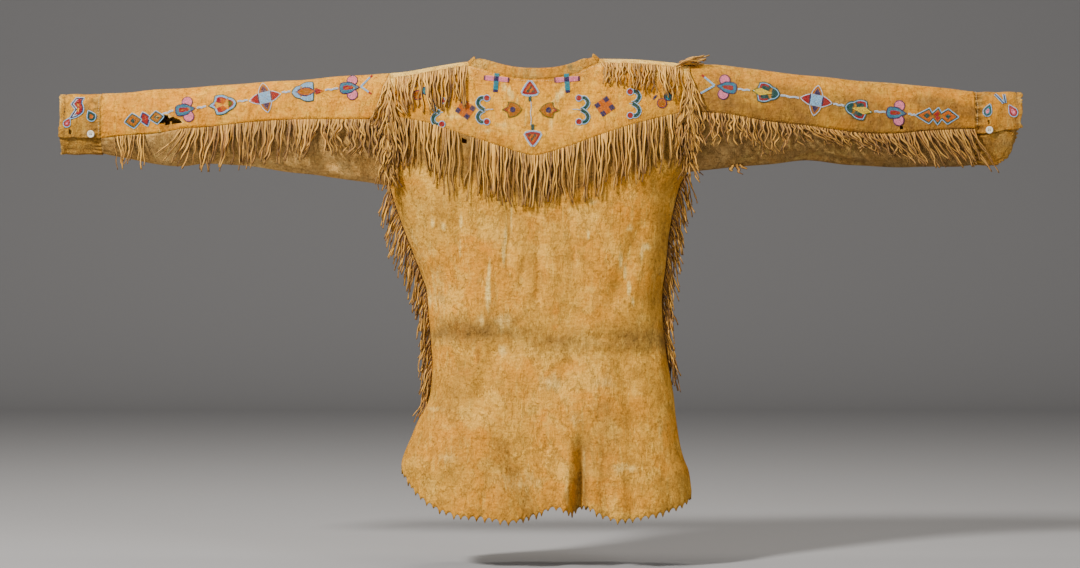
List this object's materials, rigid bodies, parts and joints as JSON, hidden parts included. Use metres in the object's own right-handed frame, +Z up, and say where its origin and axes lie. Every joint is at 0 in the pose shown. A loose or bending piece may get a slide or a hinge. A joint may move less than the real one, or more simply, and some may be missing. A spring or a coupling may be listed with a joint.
{
  "type": "beaded hide shirt",
  "caption": "Long pullover shirt of smoked hide in its worn form, hollow and open at neck, hem and cuffs, with beaded yoke and sleeves and cut fringe in the seams.",
  "frame": {"origin": "middle of the shoulder line, where the wearer's shoulders hold the shirt up", "axes": "+Z up, the front faces -Y, +X runs along the shirt's own left arm as seen from the front right"},
  "size_m": [1.672, 0.1619, 0.8121],
  "materials": {
    "smoked_hide": "soft smoked hide with a fine nap",
    "bright_hide": "orange-tan smoked hide, worn pale on the shoulders",
    "soiled_hide": "handled, greyer hide",
    "fringe_hide": "cut hide strands",
    "shell_button": "polished shell",
    "seed_beads": "opaque glass seed beads"
  },
  "bodies": {
    "root": {"front": "smoked_hide", "front_yoke": "bright_hide", "back": "smoked_hide", "collar": "bright_hide", "upper_sleeve_left": "bright_hide", "upper_sleeve_right": "bright_hide", "under_sleeve_left": "soiled_hide", "under_sleeve_right": "soiled_hide", "cuff_left": "bright_hide", "cuff_right": "bright_hide", "button_left": "shell_button", "button_right": "shell_button", "fringe_yoke": "fringe_hide", "fringe_shoulder_left": "fringe_hide", "fringe_shoulder_right": "fringe_hide", "fringe_sleeve_left": "fringe_hide", "fringe_wrist_left": "fringe_hide", "fringe_sleeve_right": "fringe_hide", "fringe_armhole_left": "fringe_hide", "fringe_armhole_right": "fringe_hide", "fringe_side_left": "fringe_hide", "fringe_side_right": "fringe_hide"}
  },
  "joints": []
}
